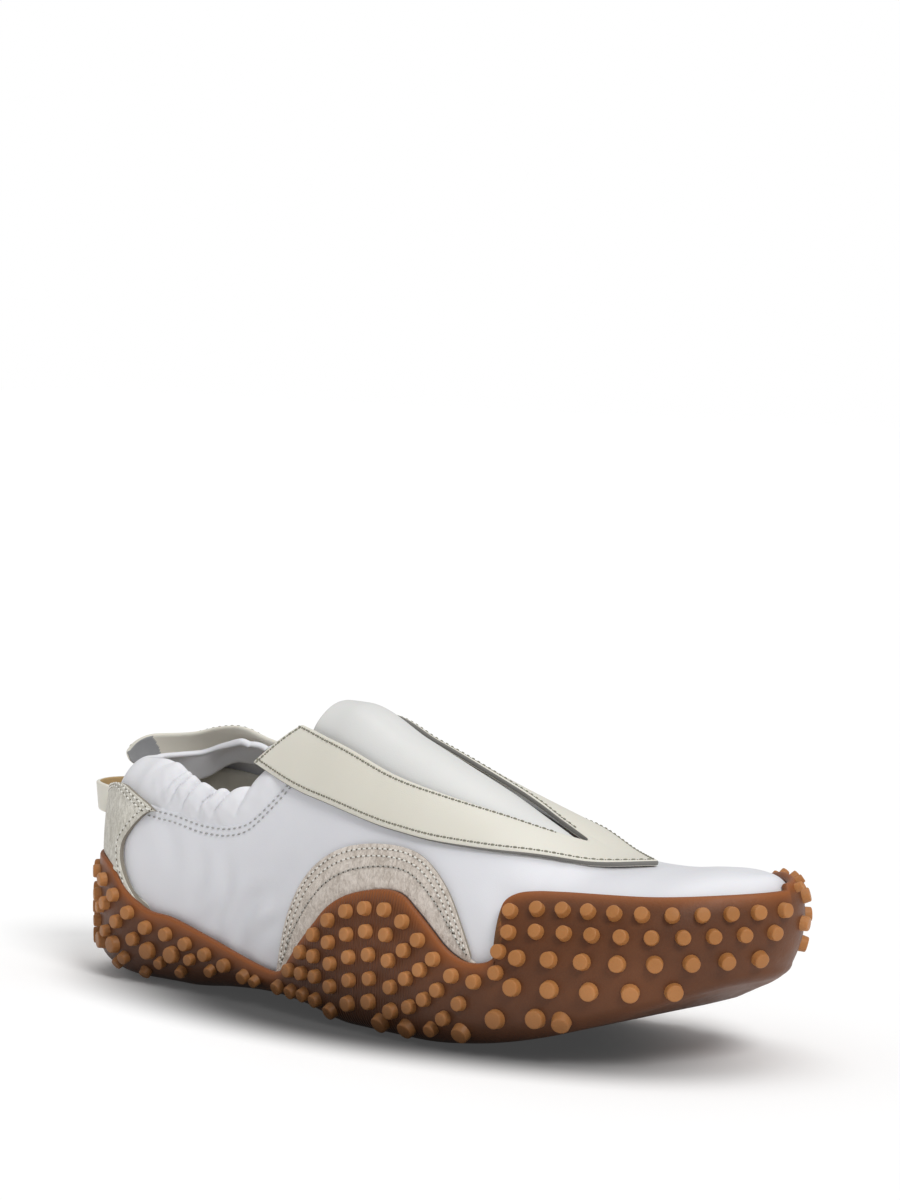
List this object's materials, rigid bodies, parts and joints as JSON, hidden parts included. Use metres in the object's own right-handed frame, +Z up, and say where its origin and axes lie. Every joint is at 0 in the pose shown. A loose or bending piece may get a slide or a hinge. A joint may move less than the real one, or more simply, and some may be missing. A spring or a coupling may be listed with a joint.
{
  "type": "slip-on sneaker",
  "caption": "Low slip-on sneaker for a right foot: white leather upper, cream yoke, suede trims and a studded gum rubber cup sole.",
  "frame": {"origin": "middle of the shoe's box, on the floor that it stands on", "axes": "+X from heel to toe, +Y to the medial (inner) side, +Z up"},
  "size_m": [0.286, 0.096, 0.1],
  "materials": {
    "gum_rubber": "satin",
    "white_leather": "smooth",
    "cream_leather": "smooth",
    "pale_suede": "napped",
    "grey_lining": "knitted"
  },
  "bodies": {
    "root": {"outsole": "gum_rubber", "insole": "grey_lining", "collar": "white_leather", "upper": "white_leather", "tongue": "white_leather", "yoke": "cream_leather", "collar_strap": "cream_leather", "heel_counter": "pale_suede", "lateral_panel": "pale_suede", "medial_panel": "pale_suede", "heel_pull_loop": "cream_leather"}
  },
  "joints": []
}
